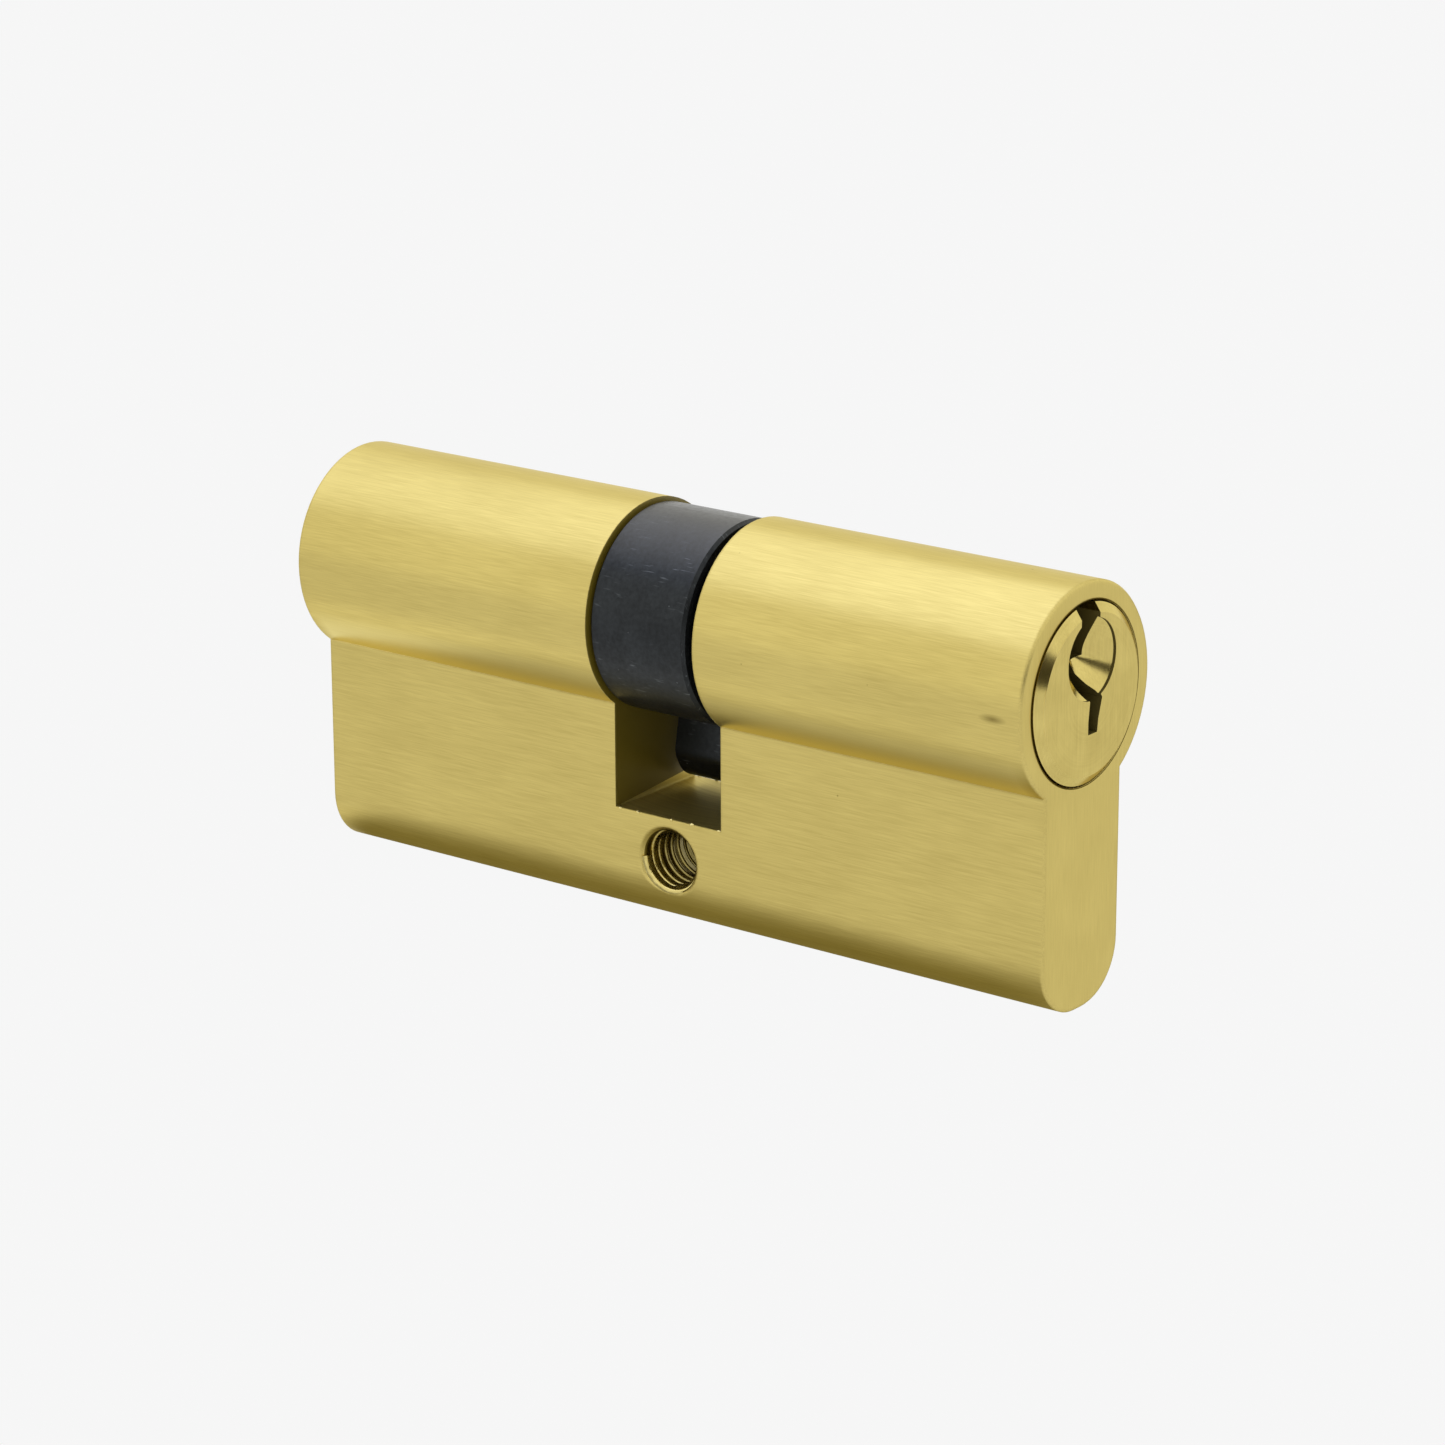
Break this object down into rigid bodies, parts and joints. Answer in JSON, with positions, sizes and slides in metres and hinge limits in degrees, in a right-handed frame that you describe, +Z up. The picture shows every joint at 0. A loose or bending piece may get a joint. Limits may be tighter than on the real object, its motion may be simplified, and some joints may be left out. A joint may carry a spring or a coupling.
{
  "type": "double profile lock cylinder",
  "caption": "Brass double profile lock cylinder for a mortice deadbolt, with a plug keyed from each end, pin stacks, a clutch and a steel cam.",
  "frame": {"origin": "on the common axis of the plugs and the cam, midway along the lock, above the fixing screw hole", "axes": "+X along the lock towards key end A, +Y across it, +Z up, away from the flange"},
  "size_m": [0.071, 0.0184, 0.033],
  "materials": {
    "housing_brass": "satin, drawn along its length",
    "plug_brass": "fine turned",
    "black_oxide_steel": "black oxide, lightly oiled",
    "spring_steel": "phosphated",
    "sintered_steel": "sintered",
    "pin_brass": "turned",
    "pin_steel": "hardened and tumbled",
    "spring_bronze": "drawn wire"
  },
  "bodies": {
    "housing": {"cylinder_body": "housing_brass", "chamber_closers_a": "housing_brass", "chamber_closers_b": "housing_brass", "pin_spring_a1": "spring_bronze", "pin_spring_a2": "spring_bronze", "pin_spring_a3": "spring_bronze", "pin_spring_a4": "spring_bronze", "pin_spring_a5": "spring_bronze", "pin_spring_b1": "spring_bronze", "pin_spring_b2": "spring_bronze", "pin_spring_b3": "spring_bronze", "pin_spring_b4": "spring_bronze", "pin_spring_b5": "spring_bronze"},
    "plug_a": {"plug_a": "plug_brass", "retaining_ring_a": "spring_steel"},
    "plug_b": {"plug_b": "plug_brass", "retaining_ring_b": "spring_steel"},
    "cam": {"cam": "black_oxide_steel"},
    "clutch_half_a": {"clutch_half_a": "sintered_steel"},
    "clutch_half_b": {"clutch_half_b": "sintered_steel"},
    "key_pin_a1": {"key_pin_a1": "pin_brass"},
    "key_pin_a2": {"key_pin_a2": "pin_brass"},
    "key_pin_a3": {"key_pin_a3": "pin_brass"},
    "key_pin_a4": {"key_pin_a4": "pin_brass"},
    "key_pin_a5": {"key_pin_a5": "pin_brass"},
    "driver_pin_a1": {"driver_pin_a1": "pin_steel"},
    "driver_pin_a2": {"driver_pin_a2": "pin_steel"},
    "driver_pin_a3": {"driver_pin_a3": "pin_steel"},
    "driver_pin_a4": {"driver_pin_a4": "pin_steel"},
    "driver_pin_a5": {"driver_pin_a5": "pin_steel"},
    "key_pin_b1": {"key_pin_b1": "pin_brass"},
    "key_pin_b2": {"key_pin_b2": "pin_brass"},
    "key_pin_b3": {"key_pin_b3": "pin_brass"},
    "key_pin_b4": {"key_pin_b4": "pin_brass"},
    "key_pin_b5": {"key_pin_b5": "pin_brass"},
    "driver_pin_b1": {"driver_pin_b1": "pin_steel"},
    "driver_pin_b2": {"driver_pin_b2": "pin_steel"},
    "driver_pin_b3": {"driver_pin_b3": "pin_steel"},
    "driver_pin_b4": {"driver_pin_b4": "pin_steel"},
    "driver_pin_b5": {"driver_pin_b5": "pin_steel"}
  },
  "joints": [
    {"name": "plug_a_turn", "type": "hinge", "parent": "housing", "child": "plug_a", "pos_m": [0, 0, 0], "axis": [1, 0, 0], "continuous": true},
    {"name": "plug_b_turn", "type": "hinge", "parent": "housing", "child": "plug_b", "pos_m": [0, 0, 0], "axis": [1, 0, 0], "continuous": true},
    {"name": "cam_turn", "type": "hinge", "parent": "housing", "child": "cam", "pos_m": [0, 0, 0], "axis": [1, 0, 0], "continuous": true},
    {"name": "clutch_a_slide", "type": "slide", "parent": "plug_a", "child": "clutch_half_a", "axis": [1, 0, 0], "range_m": [0, 0.0011]},
    {"name": "clutch_b_slide", "type": "slide", "parent": "plug_b", "child": "clutch_half_b", "axis": [1, 0, 0], "range_m": [0, 0.0011]},
    {"name": "key_pin_a1_lift", "type": "slide", "parent": "plug_a", "child": "key_pin_a1", "axis": [0, 0, 1], "range_m": [0, 0.00332]},
    {"name": "key_pin_a2_lift", "type": "slide", "parent": "plug_a", "child": "key_pin_a2", "axis": [0, 0, 1], "range_m": [0, 0.00242]},
    {"name": "key_pin_a3_lift", "type": "slide", "parent": "plug_a", "child": "key_pin_a3", "axis": [0, 0, 1], "range_m": [0, 0.00302]},
    {"name": "key_pin_a4_lift", "type": "slide", "parent": "plug_a", "child": "key_pin_a4", "axis": [0, 0, 1], "range_m": [0, 0.00182]},
    {"name": "key_pin_a5_lift", "type": "slide", "parent": "plug_a", "child": "key_pin_a5", "axis": [0, 0, 1], "range_m": [0, 0.00272]},
    {"name": "driver_pin_a1_press", "type": "slide", "parent": "housing", "child": "driver_pin_a1", "axis": [0, 0, 1], "range_m": [-0.0035, 0], "stiffness_N_per_m": 200, "springref_m": 0.003, "deforming": ["pin_spring_a1"]},
    {"name": "driver_pin_a2_press", "type": "slide", "parent": "housing", "child": "driver_pin_a2", "axis": [0, 0, 1], "range_m": [-0.0035, 0], "stiffness_N_per_m": 200, "springref_m": 0.003, "deforming": ["pin_spring_a2"]},
    {"name": "driver_pin_a3_press", "type": "slide", "parent": "housing", "child": "driver_pin_a3", "axis": [0, 0, 1], "range_m": [-0.0035, 0], "stiffness_N_per_m": 200, "springref_m": 0.003, "deforming": ["pin_spring_a3"]},
    {"name": "driver_pin_a4_press", "type": "slide", "parent": "housing", "child": "driver_pin_a4", "axis": [0, 0, 1], "range_m": [-0.0035, 0], "stiffness_N_per_m": 200, "springref_m": 0.003, "deforming": ["pin_spring_a4"]},
    {"name": "driver_pin_a5_press", "type": "slide", "parent": "housing", "child": "driver_pin_a5", "axis": [0, 0, 1], "range_m": [-0.0035, 0], "stiffness_N_per_m": 200, "springref_m": 0.003, "deforming": ["pin_spring_a5"]},
    {"name": "key_pin_b1_lift", "type": "slide", "parent": "plug_b", "child": "key_pin_b1", "axis": [0, 0, 1], "range_m": [0, 0.00332]},
    {"name": "key_pin_b2_lift", "type": "slide", "parent": "plug_b", "child": "key_pin_b2", "axis": [0, 0, 1], "range_m": [0, 0.00242]},
    {"name": "key_pin_b3_lift", "type": "slide", "parent": "plug_b", "child": "key_pin_b3", "axis": [0, 0, 1], "range_m": [0, 0.00302]},
    {"name": "key_pin_b4_lift", "type": "slide", "parent": "plug_b", "child": "key_pin_b4", "axis": [0, 0, 1], "range_m": [0, 0.00182]},
    {"name": "key_pin_b5_lift", "type": "slide", "parent": "plug_b", "child": "key_pin_b5", "axis": [0, 0, 1], "range_m": [0, 0.00272]},
    {"name": "driver_pin_b1_press", "type": "slide", "parent": "housing", "child": "driver_pin_b1", "axis": [0, 0, 1], "range_m": [-0.0035, 0], "stiffness_N_per_m": 200, "springref_m": 0.003, "deforming": ["pin_spring_b1"]},
    {"name": "driver_pin_b2_press", "type": "slide", "parent": "housing", "child": "driver_pin_b2", "axis": [0, 0, 1], "range_m": [-0.0035, 0], "stiffness_N_per_m": 200, "springref_m": 0.003, "deforming": ["pin_spring_b2"]},
    {"name": "driver_pin_b3_press", "type": "slide", "parent": "housing", "child": "driver_pin_b3", "axis": [0, 0, 1], "range_m": [-0.0035, 0], "stiffness_N_per_m": 200, "springref_m": 0.003, "deforming": ["pin_spring_b3"]},
    {"name": "driver_pin_b4_press", "type": "slide", "parent": "housing", "child": "driver_pin_b4", "axis": [0, 0, 1], "range_m": [-0.0035, 0], "stiffness_N_per_m": 200, "springref_m": 0.003, "deforming": ["pin_spring_b4"]},
    {"name": "driver_pin_b5_press", "type": "slide", "parent": "housing", "child": "driver_pin_b5", "axis": [0, 0, 1], "range_m": [-0.0035, 0], "stiffness_N_per_m": 200, "springref_m": 0.003, "deforming": ["pin_spring_b5"]}
  ],
  "couplings": [
    {"joint": "cam_turn", "follows": "plug_a_turn", "ratio": 1},
    {"joint": "clutch_b_slide", "follows": "clutch_a_slide", "ratio": 1}
  ]
}
